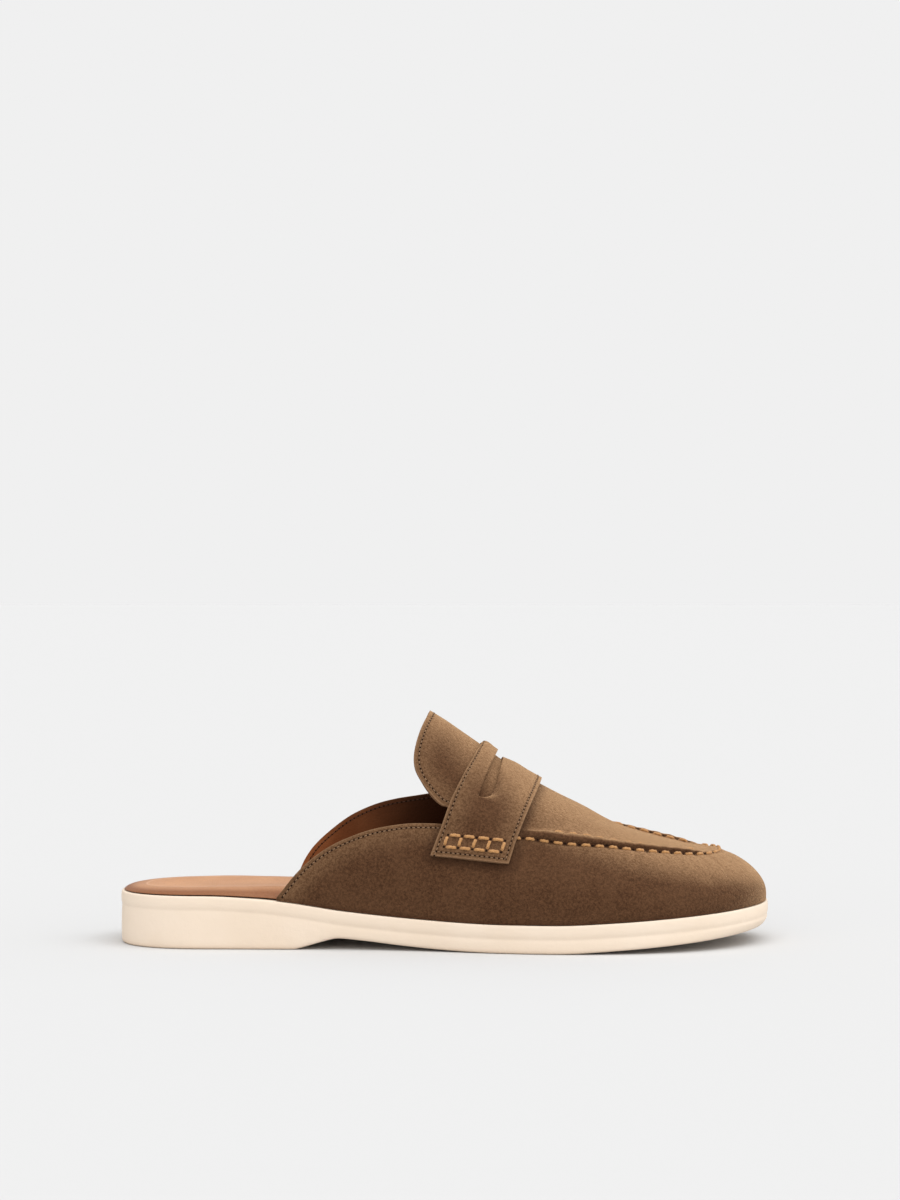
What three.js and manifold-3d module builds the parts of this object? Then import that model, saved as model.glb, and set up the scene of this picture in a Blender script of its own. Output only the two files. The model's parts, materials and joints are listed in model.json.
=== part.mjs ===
import * as THREE from 'three';
import { mergeVertices } from 'three/addons/utils/BufferGeometryUtils.js';
import Module from 'manifold-3d';

// A right mule: a suede moccasin upper with a saddle strap, open at the heel, on a moulded
// rubber sole. Millimetres. X runs from heel to toe, Y to the inner side of the foot, Z up.

// Driving dimensions
const LENGTH = 288;
const BALL_WIDTH = 97;
const HEEL_HEIGHT = 22.8;
const FOREFOOT_THICKNESS = 12.2;
const TOE_SPRING = 5.8;
const TOE_LIFT = 7.2;
const TOE_UNDERCUT = 2.6;
const UNDERCUT_LENGTH = 46;
const ARCH_RISE = 4.9;
const HEEL_ROUND = 40;
const TOE_ROUND = 84;
const ROUNDNESS = 2.3;
const BAND_HEIGHT = 6.1;
const GROOVE_DEPTH = 0.6;
const GROOVE_REACH = 1.1;
const EDGE_RADIUS = 1.5;
const GAP = 0.3;

const INSOLE_THICKNESS = 4.2;
const INSOLE_INSET = 1.6;
const INSOLE_EDGE_RADIUS = 2.6;
const HEEL_CUP = 0.9;
const TUCK_LENGTH = 9;
const TUCK_END = 3;

const UPPER_INSET = 1;
const WALL = 2;
const OUTER_REAR_AT = 71;
const INNER_REAR_AT = 75.5;
const THROAT_AT = 141;
const OUTER_SIDE_HEIGHT = 41.3;
const INNER_SIDE_HEIGHT = 50.3;
const REAR_TAB = 1.6;
const TOE_HEIGHT = 22.6;
const INSTEP_HEIGHT = 67.7;
const SEAM_SETBACK = 21;
const SEAM_ROUND = 64;
const SIDE_BULGE = 1.8;
const LIP_HEIGHT = 2.1;
const LIP_WIDTH = 5.6;
const LIP_WIDENING = 35;
const LIP_START = 5;
const LIP_TIP_LENGTH = 19;

const JOINT_AT = 172.5;
const TONGUE_GAP = 0.42;
const TONGUE_THICKNESS = 2;
const TONGUE_FLARE = 1.6;
const FLARE_LENGTH = 14;
const STRAP_THICKNESS = 2.3;
const STRAP_END = 0.57;
const STRAP_CLEARANCE = 0.5;

// Sole: distance of its outer and inner edge from the axis of the foot, and the axis of the
// tips, as shares of the ball width
const OUTLINE = [
  { along: 0.00, outer: 0.337, inner: 0.330, axis: 0.000 },
  { along: 0.13, outer: 0.338, inner: 0.330, axis: 0.000 },
  { along: 0.22, outer: 0.345, inner: 0.312, axis: 0.000 },
  { along: 0.30, outer: 0.353, inner: 0.290, axis: 0.000 },
  { along: 0.38, outer: 0.370, inner: 0.284, axis: 0.004 },
  { along: 0.46, outer: 0.402, inner: 0.310, axis: 0.010 },
  { along: 0.54, outer: 0.455, inner: 0.368, axis: 0.018 },
  { along: 0.62, outer: 0.500, inner: 0.432, axis: 0.028 },
  { along: 0.69, outer: 0.517, inner: 0.474, axis: 0.038 },
  { along: 0.76, outer: 0.514, inner: 0.485, axis: 0.050 },
  { along: 0.88, outer: 0.500, inner: 0.482, axis: 0.068 },
  { along: 1.00, outer: 0.490, inner: 0.480, axis: 0.072 },
];

// Sole: how much of the heel height, the arch rise and the rise of the toe each place along has
const PROFILE = [
  { along: 0.000, heel: 1.00, arch: 0.00, spring: 0.00 },
  { along: 0.140, heel: 1.00, arch: 0.00, spring: 0.00 },
  { along: 0.210, heel: 0.91, arch: 0.00, spring: 0.00 },
  { along: 0.273, heel: 0.72, arch: 0.00, spring: 0.00 },
  { along: 0.278, heel: 0.70, arch: 0.06, spring: 0.00 },
  { along: 0.304, heel: 0.59, arch: 0.50, spring: 0.00 },
  { along: 0.330, heel: 0.48, arch: 0.94, spring: 0.00 },
  { along: 0.340, heel: 0.44, arch: 1.00, spring: 0.00 },
  { along: 0.350, heel: 0.41, arch: 0.97, spring: 0.00 },
  { along: 0.376, heel: 0.33, arch: 0.84, spring: 0.00 },
  { along: 0.432, heel: 0.19, arch: 0.45, spring: 0.00 },
  { along: 0.507, heel: 0.06, arch: 0.12, spring: 0.00 },
  { along: 0.575, heel: 0.00, arch: 0.00, spring: 0.00 },
  { along: 0.670, heel: 0.00, arch: 0.00, spring: 0.00 },
  { along: 0.730, heel: 0.00, arch: 0.00, spring: 0.13 },
  { along: 0.790, heel: 0.00, arch: 0.00, spring: 0.29 },
  { along: 0.850, heel: 0.00, arch: 0.00, spring: 0.47 },
  { along: 0.913, heel: 0.00, arch: 0.00, spring: 0.68 },
  { along: 0.960, heel: 0.00, arch: 0.00, spring: 0.86 },
  { along: 1.000, heel: 0.00, arch: 0.00, spring: 1.00 },
];

// Last: width at the top of the side walls as shares of the ball width, height of the seam
// between toe and side, height of the crest between toe and instep, and how the crown bends
const LAST = [
  { along: 0.245, outer: 0.325, inner: 0.296, seam: 1.00, crest: 2.05, arch: 1.30, peak: 1.70 },
  { along: 0.320, outer: 0.322, inner: 0.285, seam: 1.00, crest: 1.80, arch: 1.30, peak: 1.70 },
  { along: 0.400, outer: 0.322, inner: 0.288, seam: 1.00, crest: 1.60, arch: 1.30, peak: 1.70 },
  { along: 0.455, outer: 0.326, inner: 0.298, seam: 1.00, crest: 1.52, arch: 1.30, peak: 1.70 },
  { along: 0.490, outer: 0.333, inner: 0.306, seam: 1.00, crest: 1.41, arch: 1.30, peak: 1.70 },
  { along: 0.521, outer: 0.352, inner: 0.320, seam: 0.95, crest: 1.288, arch: 1.30, peak: 1.70 },
  { along: 0.556, outer: 0.372, inner: 0.338, seam: 0.87, crest: 1.142, arch: 1.30, peak: 1.70 },
  { along: 0.611, outer: 0.388, inner: 0.350, seam: 0.75, crest: 0.892, arch: 1.30, peak: 1.74 },
  { along: 0.656, outer: 0.384, inner: 0.344, seam: 0.65, crest: 0.73, arch: 1.26, peak: 1.80 },
  { along: 0.712, outer: 0.366, inner: 0.332, seam: 0.53, crest: 0.54, arch: 1.18, peak: 1.86 },
  { along: 0.757, outer: 0.348, inner: 0.316, seam: 0.43, crest: 0.365, arch: 1.10, peak: 1.92 },
  { along: 0.800, outer: 0.332, inner: 0.302, seam: 0.32, crest: 0.245, arch: 1.04, peak: 2.00 },
  { along: 0.850, outer: 0.320, inner: 0.292, seam: 0.18, crest: 0.14, arch: 1.00, peak: 2.00 },
  { along: 0.900, outer: 0.312, inner: 0.284, seam: 0.05, crest: 0.055, arch: 1.00, peak: 2.00 },
  { along: 1.000, outer: 0.305, inner: 0.278, seam: 0.00, crest: 0.00, arch: 1.00, peak: 2.00 },
];

// Topline: how far up the side wall it has come between the rear corner and the throat
const TOPLINE = [
  { run: 0.00, outer: 0.000, inner: 0.000 },
  { run: 0.03, outer: 0.070, inner: 0.120 },
  { run: 0.09, outer: 0.220, inner: 0.295 },
  { run: 0.15, outer: 0.352, inner: 0.410 },
  { run: 0.21, outer: 0.465, inner: 0.500 },
  { run: 0.28, outer: 0.575, inner: 0.593 },
  { run: 0.36, outer: 0.682, inner: 0.688 },
  { run: 0.45, outer: 0.770, inner: 0.768 },
  { run: 0.57, outer: 0.868, inner: 0.850 },
  { run: 0.70, outer: 0.938, inner: 0.911 },
  { run: 0.85, outer: 0.986, inner: 0.957 },
  { run: 1.00, outer: 1.000, inner: 1.000 },
];
const SEAM_AXIS = 0.045;
const CREST_AXIS = 0.025;

// Tongue: place of its rear edge along the shoe, from the top of the side wall up to its tip
const TONGUE_EDGE = [
  { up: 0.131, outer: 0.5035, inner: 0.5035 },
  { up: 0.177, outer: 0.4920, inner: 0.4930 },
  { up: 0.268, outer: 0.4767, inner: 0.4790 },
  { up: 0.340, outer: 0.4670, inner: 0.4710 },
  { up: 0.440, outer: 0.4565, inner: 0.4630 },
  { up: 0.560, outer: 0.4520, inner: 0.4605 },
  { up: 0.640, outer: 0.4528, inner: 0.4620 },
  { up: 0.740, outer: 0.4565, inner: 0.4660 },
  { up: 0.860, outer: 0.4635, inner: 0.4715 },
  { up: 1.000, outer: 0.4760, inner: 0.4760 },
];

// Tongue: how far its lower edge stands above the top of the side wall
const TONGUE_FOOT = [
  { along: 0.455, rise: 0.25 },
  { along: 0.503, rise: 0.23 },
  { along: 0.530, rise: 0.10 },
  { along: 0.600, rise: 0.07 },
];

// Saddle strap: places of its edges along the shoe, and of its slot across its width, from
// the ends of the strap up to the crest
const STRAP = [
  { climb: 0.00, rear: 0.477, front: 0.593 },
  { climb: 0.50, rear: 0.512, front: 0.619 },
  { climb: 1.00, rear: 0.554, front: 0.645 },
];
const SLOT = [
  { climb: 0.52, rear: 0.345, front: 0.415 },
  { climb: 0.55, rear: 0.320, front: 0.455 },
  { climb: 0.70, rear: 0.295, front: 0.450 },
  { climb: 0.86, rear: 0.280, front: 0.400 },
  { climb: 1.00, rear: 0.270, front: 0.355 },
];

// Steps of the meshes
const SOLE_STATIONS = 44;
const BREAST_STATIONS = [0.267, 0.2735, 0.2785, 0.304, 0.3285, 0.3365, 0.344, 0.354];
const STATION_CLEARANCE = 1.8;
const REAR_STATIONS = 17;
const FRONT_STATIONS = 26;
const WALL_ROWS = 7;
const LIP_ROWS = [0.12, 0.3, 0.5, 0.72, 1];
const CROWN_COLUMNS = 8;
const TONGUE_COLUMNS = 9;
const TONGUE_ROWS = 10;
const SEARCH_TURNS = 30;
const STRAP_WALL_ROWS = 3;
const STRAP_ROWS = 11;
const STRAP_COLUMNS = 6;
const SLOT_ROWS = 26;

// A smooth curve through one column of a table, that never swings past its rows
function column(table, key, name) {
  const at = table.map((row) => row[key]);
  const value = table.map((row) => row[name]);
  const rise = at.slice(1).map((end, i) => (value[i + 1] - value[i]) / (end - at[i]));
  const slope = value.map((_, i) => {
    if (i === 0 || i === rise.length) return rise[Math.min(i, rise.length - 1)];
    if (rise[i - 1] * rise[i] <= 0) return 0;
    return (2 * rise[i - 1] * rise[i]) / (rise[i - 1] + rise[i]);
  });
  return (place) => {
    const inside = THREE.MathUtils.clamp(place, at[0], at[at.length - 1]);
    const i = Math.max(0, at.findLastIndex((start, k) => k < rise.length && start <= inside));
    const span = at[i + 1] - at[i];
    const t = (inside - at[i]) / span;
    const near = (1 + 2 * t) * (1 - t) ** 2;
    const far = t * t * (3 - 2 * t);
    return near * value[i] + far * value[i + 1]
      + span * t * (1 - t) * ((1 - t) * slope[i] - t * slope[i + 1]);
  };
}

const columns = (table, key, names) =>
  Object.fromEntries(names.map((name) => [name, column(table, key, name)]));

const outlineAt = columns(OUTLINE, 'along', ['outer', 'inner', 'axis']);
const profileAt = columns(PROFILE, 'along', ['heel', 'arch', 'spring']);
const lastAt = columns(LAST, 'along', ['outer', 'inner', 'seam', 'crest', 'arch', 'peak']);
const toplineAt = columns(TOPLINE, 'run', ['outer', 'inner']);
const tongueEdgeAt = columns(TONGUE_EDGE, 'up', ['outer', 'inner']);
const tongueFootAt = columns(TONGUE_FOOT, 'along', ['rise']);
const strapAt = columns(STRAP, 'climb', ['rear', 'front']);
const slotAt = columns(SLOT, 'climb', ['rear', 'front']);

// Sides of the foot: the outer side lies at negative Y
const OUTER = -1;
const INNER = 1;
const onSide = (table, side, place) => (side === OUTER ? table.outer(place) : table.inner(place));

// Share of the full width that is left where an outline closes over the last stretch of it
function closing(distance, stretch) {
  if (distance >= stretch) return 1;
  return (1 - (1 - Math.max(distance, 0) / stretch) ** ROUNDNESS) ** (1 / ROUNDNESS);
}

const stationAt = (sweep) => (LENGTH * (1 - Math.cos(Math.PI * sweep))) / 2;
const sweepAt = (x) => Math.acos(1 - (2 * x) / LENGTH) / Math.PI;

// Point of the sole's outline. The sweep runs from 0 at the heel tip to 1 at the toe tip,
// and past a tip it comes back along the other side.
function outlinePoint(side, sweep) {
  if (sweep < 0) return outlinePoint(-side, -sweep);
  if (sweep > 1) return outlinePoint(-side, 2 - sweep);
  const x = stationAt(sweep);
  const along = x / LENGTH;
  const axis = outlineAt.axis(along);
  const reach = side * onSide(outlineAt, side, along) - axis;
  const round = Math.min(closing(x, HEEL_ROUND), closing(LENGTH - x, TOE_ROUND));
  return new THREE.Vector2(x, BALL_WIDTH * (axis + reach * round));
}

// Unit vector in plan from a curve of one side towards the inside of the shoe
function inward(curve, side, sweep) {
  const step = 1e-3;
  const ahead = curve(side, sweep + step);
  const behind = curve(side, sweep - step);
  const run = new THREE.Vector2(ahead.x - behind.x, ahead.y - behind.y).normalize();
  return side === OUTER ? new THREE.Vector2(-run.y, run.x) : new THREE.Vector2(run.y, -run.x);
}

// The outline moved inwards
const edgePoint = (side, sweep, inset) =>
  outlinePoint(side, sweep).addScaledVector(inward(outlinePoint, side, sweep), inset);

// Heights of the sole's top and underside
function soleTop(x) {
  const along = x / LENGTH;
  const heel = profileAt.heel(along);
  return HEEL_HEIGHT * heel + FOREFOOT_THICKNESS * (1 - heel) + TOE_SPRING * profileAt.spring(along);
}

function soleUnderside(x) {
  const along = x / LENGTH;
  return ARCH_RISE * profileAt.arch(along) + TOE_LIFT * profileAt.spring(along);
}

// One body from its points and faces, turned so that its faces look out
function body(points, faces) {
  let volume = 0;
  for (const [a, b, c] of faces) {
    volume += points[a].dot(new THREE.Vector3().crossVectors(points[b], points[c]));
  }
  const index = faces.flatMap(([a, b, c]) => (volume > 0 ? [a, b, c] : [a, c, b]));
  const geometry = new THREE.BufferGeometry();
  const numbers = points.flatMap((point) => point.toArray());
  geometry.setAttribute('position', new THREE.Float32BufferAttribute(numbers, 3));
  geometry.setIndex(index);
  geometry.computeVertexNormals();
  return geometry;
}

const quad = (faces, a, b, c, d) => faces.push([a, b, c], [a, c, d]);

// Sweeps of the sole's stations: even ones, and closer ones where the heel's breast bends
const breast = BREAST_STATIONS.map((along) => LENGTH * along);
const soleSweeps = [
  ...Array.from({ length: SOLE_STATIONS + 1 }, (_, i) => i / SOLE_STATIONS)
    .filter((sweep) => breast.every((x) => Math.abs(stationAt(sweep) - x) > STATION_CLEARANCE)),
  ...breast.map(sweepAt),
].sort((a, b) => a - b);

// A slab around the sole's outline. Each level of its side is a function that gives the inset
// and height at a station, and top and underside are closed by rungs from side to side.
function slab(levels, crown) {
  const points = [];
  const faces = [];
  const tip = soleSweeps.length - 1;
  const ringSize = 2 * tip;
  for (const level of levels) {
    for (let i = 0; i < ringSize; i++) {
      const side = i <= tip ? OUTER : INNER;
      const sweep = soleSweeps[side === OUTER ? i : ringSize - i];
      const plan = edgePoint(side, sweep, level.inset(stationAt(sweep)));
      points.push(new THREE.Vector3(plan.x, plan.y, level.height(plan.x)));
    }
  }
  for (let row = 0; row + 1 < levels.length; row++) {
    for (let i = 0; i < ringSize; i++) {
      const next = (i + 1) % ringSize;
      const low = row * ringSize;
      const high = low + ringSize;
      quad(faces, low + i, low + next, high + next, high + i);
    }
  }
  const close = (ring, middle, flip) => {
    const rung = (i) => {
      const outer = ring + i;
      const inner = ring + ((ringSize - i) % ringSize);
      if (i === 0 || i === tip) return [outer, outer, outer];
      const centre = points[outer].clone().lerp(points[inner], 0.5);
      centre.z += middle(centre.x);
      points.push(centre);
      return [outer, points.length - 1, inner];
    };
    let last = rung(0);
    for (let i = 1; i <= tip; i++) {
      const here = rung(i);
      for (let k = 0; k < 2; k++) {
        const corners = [last[k], here[k], here[k + 1], last[k + 1]];
        const loop = corners.filter((corner, n) => corner !== corners[(n + 3) % 4]);
        for (let n = 2; n < loop.length; n++) {
          faces.push(flip ? [loop[0], loop[n], loop[n - 1]] : [loop[0], loop[n - 1], loop[n]]);
        }
      }
      last = here;
    }
  };
  close(0, () => 0, true);
  close((levels.length - 1) * ringSize, crown, false);
  return body(points, faces);
}

// Sole: an upper band and a lower block with a groove between them, rounded edges. Its toe is
// cut under, less and less up its side.
const UNDERCUT_SHARES = [1, 0.82, 0.5];

function soleGeometry() {
  const undercut = (x) =>
    TOE_UNDERCUT * THREE.MathUtils.smoothstep(x, LENGTH - UNDERCUT_LENGTH, LENGTH);
  const below = (drop, inset) => ({ inset: () => inset, height: (x) => soleTop(x) - drop });
  const above = (rise, inset, share) => ({
    inset: (x) => inset + share * undercut(x),
    height: (x) => soleUnderside(x) + rise,
  });
  const soft = EDGE_RADIUS / 3;
  return slab([
    above(0, EDGE_RADIUS, UNDERCUT_SHARES[0]),
    above(soft, soft, UNDERCUT_SHARES[1]),
    above(EDGE_RADIUS, GROOVE_DEPTH / 4, UNDERCUT_SHARES[2]),
    below(BAND_HEIGHT + GROOVE_REACH, GROOVE_DEPTH / 3),
    below(BAND_HEIGHT, GROOVE_DEPTH),
    below(BAND_HEIGHT - GROOVE_REACH, GROOVE_DEPTH / 4),
    below(BAND_HEIGHT / 2, 0),
    below(soft, soft / 3),
    below(0, soft),
  ], () => 0);
}

// Insole: a padded footbed that covers the sole at the heel and runs on inside the upper. Its
// shoulder is rounded: drop and inset count in its edge radius.
const SHOULDER = [
  { drop: 1.00, inset: 0.00 },
  { drop: 0.45, inset: 0.18 },
  { drop: 0.12, inset: 0.55 },
  { drop: 0.00, inset: 1.20 },
];

function insoleGeometry() {
  const inside = UPPER_INSET + WALL + 2 * GAP;
  const tucked = OUTER_REAR_AT - TUCK_END;
  const tuck = (x) => THREE.MathUtils.smoothstep(x, tucked - TUCK_LENGTH, tucked);
  const level = (rise, extra) => ({
    inset: (x) => THREE.MathUtils.lerp(INSOLE_INSET, inside, tuck(x)) + extra,
    height: (x) => soleTop(x) + GAP + rise,
  });
  const round = SHOULDER.map(({ drop, inset }) =>
    level(INSOLE_THICKNESS - drop * INSOLE_EDGE_RADIUS, inset * INSOLE_EDGE_RADIUS));
  const cup = (x) => -HEEL_CUP * profileAt.heel(x / LENGTH);
  return slab([level(0, 0), ...round], cup);
}

const rearAt = (side) => (side === OUTER ? OUTER_REAR_AT : INNER_REAR_AT);

// How far up the side wall the topline has come on its sweep from the rear corner to the throat
const climbed = (side, x) =>
  onSide(toplineAt, side, (x - rearAt(side)) / (THROAT_AT - rearAt(side)));

// Height of the side wall above the sole: it follows the topline up to the throat, and from
// there the seam down to the toe
function sideHeight(side, x) {
  const full = side === OUTER ? OUTER_SIDE_HEIGHT : INNER_SIDE_HEIGHT;
  if (x < THROAT_AT) return THREE.MathUtils.lerp(REAR_TAB, full, climbed(side, x));
  return THREE.MathUtils.lerp(TOE_HEIGHT, full, lastAt.seam(x / LENGTH));
}

const crestHeight = (x) =>
  soleTop(x) + TOE_HEIGHT + (INSTEP_HEIGHT - TOE_HEIGHT) * lastAt.crest(x / LENGTH);

// Y of the top of the side wall, which closes to the tip of the seam over the toes
function sideY(side, x) {
  const reach = side * onSide(lastAt, side, x / LENGTH) - SEAM_AXIS;
  return BALL_WIDTH * (SEAM_AXIS + reach * closing(LENGTH - SEAM_SETBACK - x, SEAM_ROUND));
}

// Top of the side wall above the outline point of the same sweep, drawn back over the toes. At
// the rear corner it stands right over the foot of the wall, and it draws in as it climbs.
function seamPoint(side, sweep) {
  if (sweep > 1) return seamPoint(-side, 2 - sweep);
  const foot = stationAt(sweep);
  const lean = THREE.MathUtils.clamp(1 - (LENGTH - foot) / TOE_ROUND, 0, 1);
  const x = foot - SEAM_SETBACK * lean ** 2;
  const footY = edgePoint(side, sweep, UPPER_INSET).y;
  const y = x < THROAT_AT
    ? THREE.MathUtils.lerp(footY, sideY(side, x), climbed(side, x))
    : sideY(side, x);
  return new THREE.Vector3(x, y, soleTop(x) + sideHeight(side, x));
}

// Crown of the last between the tops of the side walls
function crownHeight(x, y) {
  const crestY = BALL_WIDTH * (CREST_AXIS + (SEAM_AXIS - CREST_AXIS)
    * (1 - closing(LENGTH - SEAM_SETBACK - x, SEAM_ROUND)));
  const side = y < crestY ? OUTER : INNER;
  const share = THREE.MathUtils.clamp((y - crestY) / (sideY(side, x) - crestY), 0, 1);
  const along = x / LENGTH;
  const wallTop = soleTop(x) + sideHeight(side, x);
  const rise = (1 - share ** lastAt.peak(along)) ** (1 / lastAt.arch(along));
  return wallTop + (crestHeight(x) - wallTop) * rise;
}

// Side wall from the sole up to its top: a bent line that bulges over the sole's edge. Its upper
// end is steep at the instep and leans back over the toes.
const STEEP_DROP = 0.36;
const LEAN_DROP = 0.16;

function wallPoint(side, sweep, share) {
  const plan = edgePoint(side, sweep, UPPER_INSET);
  const foot = new THREE.Vector3(plan.x, plan.y, soleTop(plan.x) + GAP);
  const top = seamPoint(side, sweep);
  const out = inward(outlinePoint, side, sweep).negate();
  const tall = top.z - foot.z;
  const lean = Math.hypot(top.x - foot.x, top.y - foot.y);
  const bulge = SIDE_BULGE * Math.min(1, tall / TOE_HEIGHT);
  const low = foot.clone().add(new THREE.Vector3(out.x * bulge, out.y * bulge, tall * 0.5));
  const high = top.clone().lerp(new THREE.Vector3(foot.x, foot.y, top.z), 0.5);
  high.z -= tall * THREE.MathUtils.lerp(STEEP_DROP, LEAN_DROP, Math.min(lean / SEAM_SETBACK, 1));
  return new THREE.CubicBezierCurve3(foot, low, high, top).getPoint(share);
}

// Raised seam: a soft lip on the crown. It comes out from under the strap and runs round the
// toe, lower at the tip, and narrower in plan where the crown is steep.
const LIP_STEEP_SHARE = 0.4;
const LIP_TIP_LOSS = 0.88;
const LIP_LEAN = 0.75;
const LIP_CLIMB = 1.2;

const lipSpread = (x) => LIP_STEEP_SHARE
  + (1 - LIP_STEEP_SHARE) * THREE.MathUtils.smoothstep(x, JOINT_AT, JOINT_AT + LIP_WIDENING);

function seamLip(side, x, share) {
  if (share >= 1) return 0;
  const clear = strapStation(strapClimb(side, LIP_CLIMB), 1) + 3 * STRAP_CLEARANCE;
  const start = THREE.MathUtils.smoothstep(x, clear, clear + LIP_START);
  const tip = LENGTH - SEAM_SETBACK;
  const loss = LIP_TIP_LOSS * THREE.MathUtils.smoothstep(x, tip - LIP_TIP_LENGTH, tip);
  return LIP_HEIGHT * start * (1 - loss) * Math.sin(Math.PI * share ** LIP_LEAN);
}

// Closed body of an open sheet given by its face and its back
function thick(face, back, faces) {
  const count = face.length;
  const edges = new Set();
  for (const [a, b, c] of faces) {
    for (const [from, to] of [[a, b], [b, c], [c, a]]) edges.add(`${from},${to}`);
  }
  const all = [...faces];
  for (const [a, b, c] of faces) all.push([c + count, b + count, a + count]);
  for (const edge of edges) {
    const [from, to] = edge.split(',').map(Number);
    if (!edges.has(`${to},${from}`)) quad(all, to, from, from + count, to + count);
  }
  return body([...face, ...back], all);
}

// Unit normals of a sheet's points
function normals(points, faces) {
  const sum = points.map(() => new THREE.Vector3());
  for (const [a, b, c] of faces) {
    const ab = points[b].clone().sub(points[a]);
    const ac = points[c].clone().sub(points[a]);
    const turn = ab.cross(ac);
    for (const corner of [a, b, c]) sum[corner].add(turn);
  }
  return sum.map((normal) => normal.normalize());
}

// Upper: side walls from the rear corners round the toe, and from the joint under the strap
// forwards the crown with its raised seam. Open behind, at the throat and underneath. Near the
// sole the wall's thickness turns level, so that its inner face ends on the sole too.
const REAR_CROWDING = 1.3;

function upperGeometry() {
  const tip = REAR_STATIONS + FRONT_STATIONS;
  const joint = sweepAt(JOINT_AT);
  const sweepOf = (side, i) => {
    if (i >= REAR_STATIONS) return joint + ((1 - joint) * (i - REAR_STATIONS)) / FRONT_STATIONS;
    const rear = rearAt(side);
    return sweepAt(rear + (JOINT_AT - rear) * (i / REAR_STATIONS) ** REAR_CROWDING);
  };
  const base = [];
  const lift = [];
  const level = [];
  const add = (point, raised = 0) => {
    lift.push(raised);
    return base.push(point) - 1;
  };
  const lines = Array.from({ length: tip + 1 }, (_, i) => [OUTER, INNER].map((side) => {
    const sweep = sweepOf(side, i);
    const line = [];
    const inside = inward(outlinePoint, side, sweep).multiplyScalar(WALL);
    for (let row = 0; row <= WALL_ROWS; row++) {
      line.push(add(wallPoint(side, sweep, row / WALL_ROWS)));
      const rise = base[line[row]].z - base[line[0]].z;
      if (rise < WALL) level.push({ old: line[row], inside, turned: rise / WALL });
    }
    if (i < REAR_STATIONS) return line;
    const top = seamPoint(side, sweep);
    const way = inward(seamPoint, side, sweep);
    for (const share of LIP_ROWS) {
      const reach = share * LIP_WIDTH * lipSpread(top.x);
      const x = Math.max(top.x + way.x * reach, JOINT_AT);
      const y = top.y + way.y * reach;
      line.push(add(new THREE.Vector3(x, y, crownHeight(x, y)), seamLip(side, top.x, share)));
    }
    return line;
  }));
  lines[tip][1] = lines[tip][0];

  const faces = [];
  for (let i = 0; i < tip; i++) {
    for (const k of [0, 1]) {
      const here = lines[i][k];
      const next = lines[i + 1][k];
      for (let row = 0; row + 1 < Math.min(here.length, next.length); row++) {
        const corners = [here[row], next[row], next[row + 1], here[row + 1]];
        quad(faces, ...(k === 0 ? corners : corners.reverse()));
      }
    }
  }
  let last = null;
  for (let i = REAR_STATIONS; i <= tip; i++) {
    const [outer, inner] = lines[i].map((line) => line[line.length - 1]);
    const rung = [outer];
    for (let k = 1; k < CROWN_COLUMNS && i < tip; k++) {
      const point = base[outer].clone().lerp(base[inner], k / CROWN_COLUMNS);
      point.z = crownHeight(point.x, point.y);
      rung.push(add(point));
    }
    rung.push(inner);
    if (last) {
      for (let k = 0; k < CROWN_COLUMNS; k++) {
        if (i < tip) quad(faces, last[k], rung[k], rung[k + 1], last[k + 1]);
        else faces.push([last[k], outer, last[k + 1]]);
      }
    }
    last = rung;
  }

  const used = [...new Set(faces.flat())].sort((a, b) => a - b);
  const place = new Map(used.map((old, now) => [old, now]));
  const sheet = faces.map((face) => face.map((corner) => place.get(corner)));
  const plain = used.map((old) => base[old]);
  const out = normals(plain, sheet);
  const face = plain.map((point, i) => point.clone().addScaledVector(out[i], lift[used[i]]));
  const back = plain.map((point, i) => point.clone().addScaledVector(out[i], -WALL));
  for (const { old, inside, turned } of level) {
    if (!place.has(old)) continue;
    const here = place.get(old);
    const flat = plain[here].clone().add(new THREE.Vector3(inside.x, inside.y, 0));
    back[here].lerpVectors(flat, back[here], turned);
  }
  return thick(face, back, sheet);
}

// Skin of the last over the instep: climb 0 to 1 up the side wall, 1 to 2 on to the crest
function skinPoint(side, x, climb) {
  if (climb <= 1) return wallPoint(side, sweepAt(x), Math.max(climb, 0));
  const crestY = BALL_WIDTH * CREST_AXIS;
  const y = crestY + (sideY(side, x) - crestY) * Math.cos(((climb - 1) * Math.PI) / 2);
  return new THREE.Vector3(x, y, crownHeight(x, y));
}

// The same skin moved outwards
function skinLifted(side, x, climb, lift) {
  const reach = 0.06;
  const up = climb + reach;
  const low = skinPoint(side, x, climb - reach);
  const high = up <= 2 ? skinPoint(side, x, up) : skinPoint(-side, x, 4 - up);
  const along = skinPoint(side, x + 1, climb).sub(skinPoint(side, x - 1, climb));
  const out = along.cross(high.sub(low)).normalize().multiplyScalar(-side);
  return skinPoint(side, x, climb).addScaledVector(out, lift);
}

// A sheet over the instep from rows of places, lying between two heights above the skin
function skinSheet(rows, low, high) {
  const across = rows[0].length;
  const faces = [];
  for (let i = 0; i + 1 < rows.length; i++) {
    for (let k = 0; k + 1 < across; k++) {
      const corner = i * across + k;
      quad(faces, corner, corner + 1, corner + 1 + across, corner + across);
    }
  }
  const at = (lift) => rows.flat()
    .map(({ side, x, climb, flare = 0 }) => skinLifted(side, x, climb, lift + flare));
  return thick(at(high), at(low), faces);
}

// Place on the skin between the crest and the tongue's lower edge
const tongueClimb = (x, down) => THREE.MathUtils.lerp(2, 1 + tongueFootAt.rise(x / LENGTH), down);

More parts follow.
